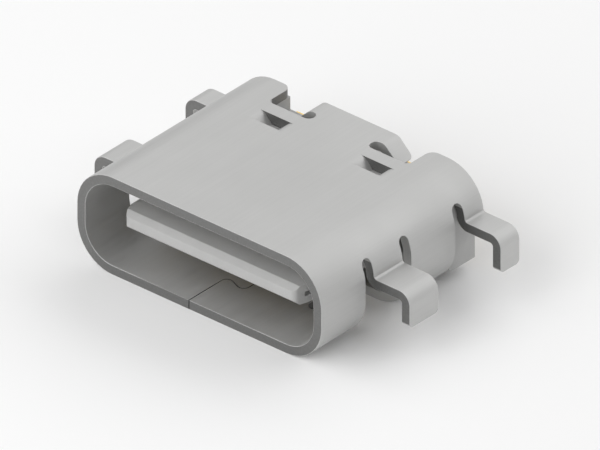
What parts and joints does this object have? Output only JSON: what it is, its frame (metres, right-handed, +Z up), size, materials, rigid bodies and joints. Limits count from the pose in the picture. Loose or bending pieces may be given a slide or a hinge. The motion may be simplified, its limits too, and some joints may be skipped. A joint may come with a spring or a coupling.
{
  "type": "usb-c board socket",
  "caption": "Board-mounted data and power socket: folded steel shell with four solder legs round a moulded tongue that carries two rows of contacts.",
  "frame": {"origin": "centre of the plug opening, in the plane of the shell's front edge", "axes": "+X to the right seen from the mouth, +Y into the socket along the plug's way in, +Z up off the board"},
  "size_m": [0.0116, 0.0078, 0.0032],
  "materials": {
    "shell_steel": "nickel-plated stainless strip, satin",
    "core_plastic": "glass-filled moulded plastic, fine matt",
    "carrier_plastic": "glass-filled moulded plastic, fine matt",
    "plate_steel": "stamped stainless strip, fine grain",
    "contact_gold": "gold-plated copper alloy strip"
  },
  "bodies": {
    "root": {"shell": "shell_steel", "core": "core_plastic", "upper_carrier": "carrier_plastic", "lower_carrier": "carrier_plastic", "mid_plate": "plate_steel", "upper_ground_plate": "plate_steel", "lower_ground_plate": "plate_steel", "contact_a1_ground": "contact_gold", "contact_a4_power": "contact_gold", "contact_a5_sense": "contact_gold", "contact_a6_data": "contact_gold", "contact_a7_data": "contact_gold", "contact_a8_spare": "contact_gold", "contact_a9_power": "contact_gold", "contact_a12_ground": "contact_gold", "contact_b12_ground": "contact_gold", "contact_b9_power": "contact_gold", "contact_b8_spare": "contact_gold", "contact_b7_data": "contact_gold", "contact_b6_data": "contact_gold", "contact_b5_sense": "contact_gold", "contact_b4_power": "contact_gold", "contact_b1_ground": "contact_gold"}
  },
  "joints": []
}
